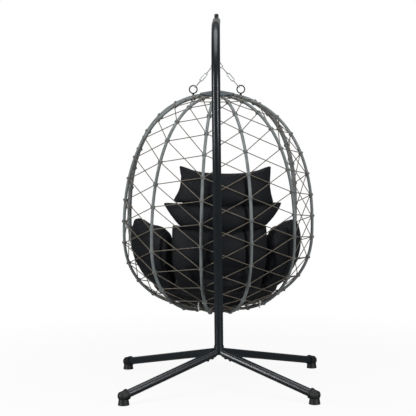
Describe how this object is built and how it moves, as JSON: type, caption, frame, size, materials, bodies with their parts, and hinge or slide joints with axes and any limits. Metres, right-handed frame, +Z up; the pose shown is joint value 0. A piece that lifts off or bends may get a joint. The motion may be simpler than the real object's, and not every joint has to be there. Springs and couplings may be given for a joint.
{
  "type": "hanging egg chair",
  "caption": "Egg-shaped hanging chair: a netted basket with cushions swings from a hook on a curved pole over a four-legged base.",
  "frame": {"origin": "on the floor, under the middle of the chair's overall box at rest", "axes": "+Z up; the sitter faces -Y, so the pole is on the +Y side; +X is the sitter's left"},
  "size_m": [1.0882, 1.1434, 1.9596],
  "materials": {
    "powder_coat": "hammered blue-black powder coat, half gloss",
    "foot_plastic": "moulded black plastic, fine grain",
    "cap_plastic": "smooth black plastic",
    "black_hardware": "black oxide",
    "dark_steel": "gunmetal coating, satin",
    "zinc_steel": "bright zinc plate",
    "hub_plate": "blue-grey powder coat, half gloss",
    "wrapped_rattan": "grey synthetic rattan wound round the tube, fine ridges",
    "rattan_knots": "taupe synthetic rattan lashing",
    "rattan_strand": "taupe twisted synthetic rattan cord, semi-matt",
    "cushion_fabric": "charcoal woven polyester, soft wrinkles",
    "tie_tape": "white woven tape"
  },
  "bodies": {
    "stand": {"base_hub": "powder_coat", "front_left_leg": "powder_coat", "front_right_leg": "powder_coat", "rear_left_leg": "powder_coat", "rear_right_leg": "powder_coat", "front_left_foot": "foot_plastic", "front_right_foot": "foot_plastic", "rear_left_foot": "foot_plastic", "rear_right_foot": "foot_plastic", "leg_bolts": "black_hardware", "lower_pole": "powder_coat", "upper_pole": "powder_coat", "pole_joint_screw": "black_hardware", "pole_base_screw": "black_hardware", "pole_end_plug": "cap_plastic", "eye_bolt": "dark_steel", "eye_bolt_nut": "black_hardware", "nut_cap": "cap_plastic"},
    "hook": {"snap_hook": "zinc_steel", "gate_pin": "zinc_steel"},
    "gate": {"snap_hook_gate": "zinc_steel"},
    "swivel": {"swivel_eye": "zinc_steel"},
    "basket": {"back_cushion": "cushion_fabric", "bottom_hub_plate": "hub_plate", "cushion_ties": "tie_tape", "front_rim": "wrapped_rattan", "gathering_ring": "zinc_steel", "head_pillow": "cushion_fabric", "left_arm_cushion": "cushion_fabric", "left_back_knots": "rattan_knots", "left_back_lacing": "rattan_strand", "left_back_rib": "wrapped_rattan", "left_chain": "zinc_steel", "left_front_lacing": "rattan_strand", "left_hanger_ring": "dark_steel", "left_middle_knots": "rattan_knots", "left_middle_rib": "wrapped_rattan", "left_side_knots": "rattan_knots", "left_side_lacing": "rattan_strand", "left_side_rib": "wrapped_rattan", "lumbar_pillow": "cushion_fabric", "middle_lacing": "rattan_strand", "right_arm_cushion": "cushion_fabric", "right_back_knots": "rattan_knots", "right_back_lacing": "rattan_strand", "right_back_rib": "wrapped_rattan", "right_chain": "zinc_steel", "right_front_lacing": "rattan_strand", "right_hanger_ring": "dark_steel", "right_middle_knots": "rattan_knots", "right_middle_rib": "wrapped_rattan", "right_side_knots": "rattan_knots", "right_side_lacing": "rattan_strand", "right_side_rib": "wrapped_rattan", "rim_knots": "rattan_knots", "seat_cushion": "cushion_fabric", "swivel_barrel": "zinc_steel", "top_hub_plate": "hub_plate"}
  },
  "joints": [
    {"name": "fore_aft_swing", "type": "hinge", "parent": "stand", "child": "hook", "pos_m": [0, -0.1694, 1.864], "axis": [1, 0, 0], "range_deg": [-12, 1.5]},
    {"name": "side_swing", "type": "hinge", "parent": "hook", "child": "swivel", "pos_m": [0, -0.1694, 1.8078], "axis": [0, 1, 0], "range_deg": [-5, 5]},
    {"name": "basket_twist", "type": "hinge", "parent": "swivel", "child": "basket", "pos_m": [0, -0.1694, 1.778], "axis": [0, 0, 1], "range_deg": [-20, 20]},
    {"name": "hook_gate", "type": "hinge", "parent": "hook", "child": "gate", "pos_m": [0.011, -0.1694, 1.815], "axis": [0, 1, 0], "range_deg": [-20, 0], "stiffness_Nm_per_rad": 0.05}
  ]
}
